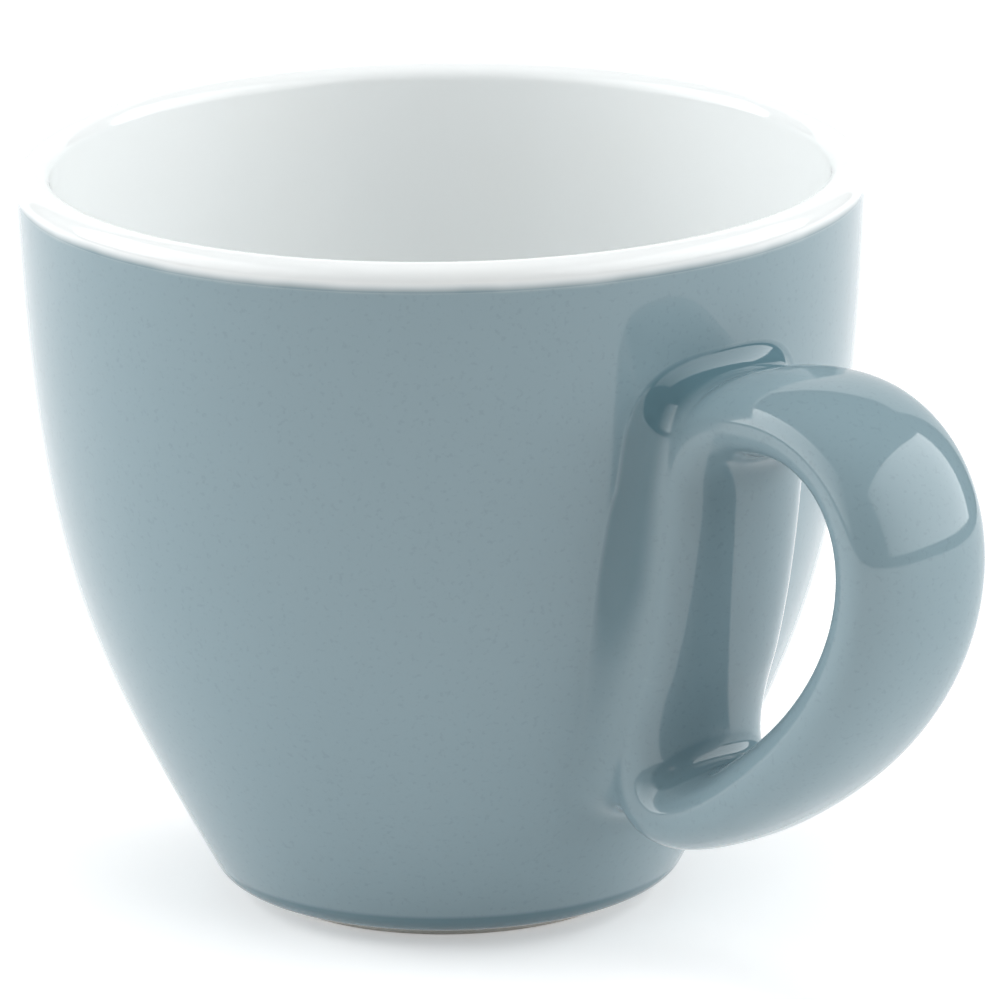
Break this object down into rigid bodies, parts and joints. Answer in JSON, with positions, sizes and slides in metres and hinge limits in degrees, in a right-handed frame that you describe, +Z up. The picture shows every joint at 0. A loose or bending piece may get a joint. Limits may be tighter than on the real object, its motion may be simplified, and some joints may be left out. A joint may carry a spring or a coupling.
{
  "type": "espresso cup",
  "caption": "Glazed porcelain espresso cup, white inside and over the lip, blue-grey outside, with a closed loop handle whose root runs down the wall.",
  "frame": {"origin": "on the table, under the middle of the cup's overall length, in the plane that halves the handle", "axes": "+X from the cup's axis towards the handle, +Y across, +Z up"},
  "size_m": [0.084, 0.062, 0.055],
  "materials": {
    "bisque": "matt, unglazed porcelain",
    "white_glaze": "glossy white glaze",
    "blue_glaze": "glossy blue-grey glaze"
  },
  "bodies": {
    "root": {"cup_body": "bisque", "handle": "bisque", "handle_slip": "bisque", "inner_glaze": "white_glaze", "outer_glaze": "blue_glaze", "handle_glaze": "blue_glaze", "foot_glaze": "white_glaze"}
  },
  "joints": []
}
